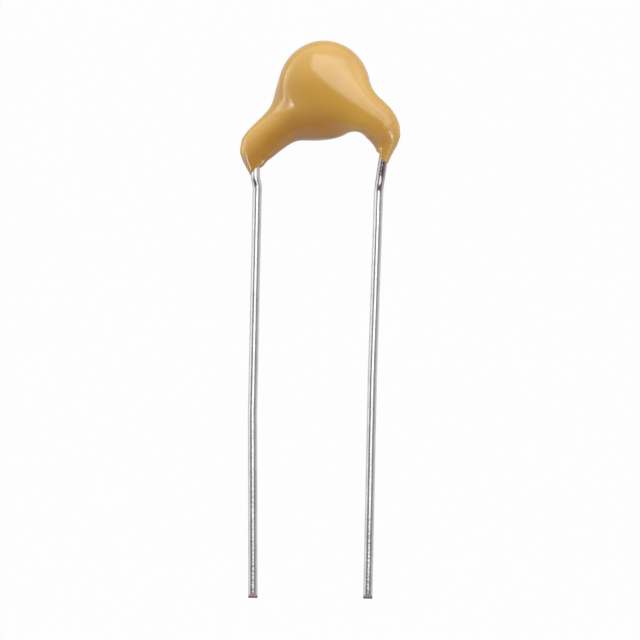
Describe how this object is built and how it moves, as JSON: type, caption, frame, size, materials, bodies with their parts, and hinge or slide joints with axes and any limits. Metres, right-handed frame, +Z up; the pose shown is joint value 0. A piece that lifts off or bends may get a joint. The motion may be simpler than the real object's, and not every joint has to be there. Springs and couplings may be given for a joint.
{
  "type": "ceramic disc capacitor",
  "caption": "Small round ceramic disc capacitor dipped in glossy ochre epoxy that runs down two splayed, tinned wire leads; it couples or decouples signals on a circuit board.",
  "frame": {"origin": "middle of the bottom of the part's box, on the ground that it lies on", "axes": "+Y from the lead tips towards the coated disc, +Z up out of the front face, +X towards the right lead"},
  "size_m": [0.0086, 0.03, 0.003],
  "materials": {
    "epoxy_coat": "glossy ochre epoxy, dipped, with a soft skin and thinner rims where it runs down the wires",
    "bare_ceramic": "unglazed fired titanate ceramic",
    "fired_silver": "matt fired silver paste",
    "solder": "dull grey solder",
    "tinned_wire": "bright tinned copper-clad steel wire with fine drawing marks"
  },
  "bodies": {
    "root": {"coating": "epoxy_coat", "ceramic_disc": "bare_ceramic", "front_electrode": "fired_silver", "rear_electrode": "fired_silver", "front_solder": "solder", "rear_solder": "solder", "left_lead": "tinned_wire", "right_lead": "tinned_wire"}
  },
  "joints": []
}
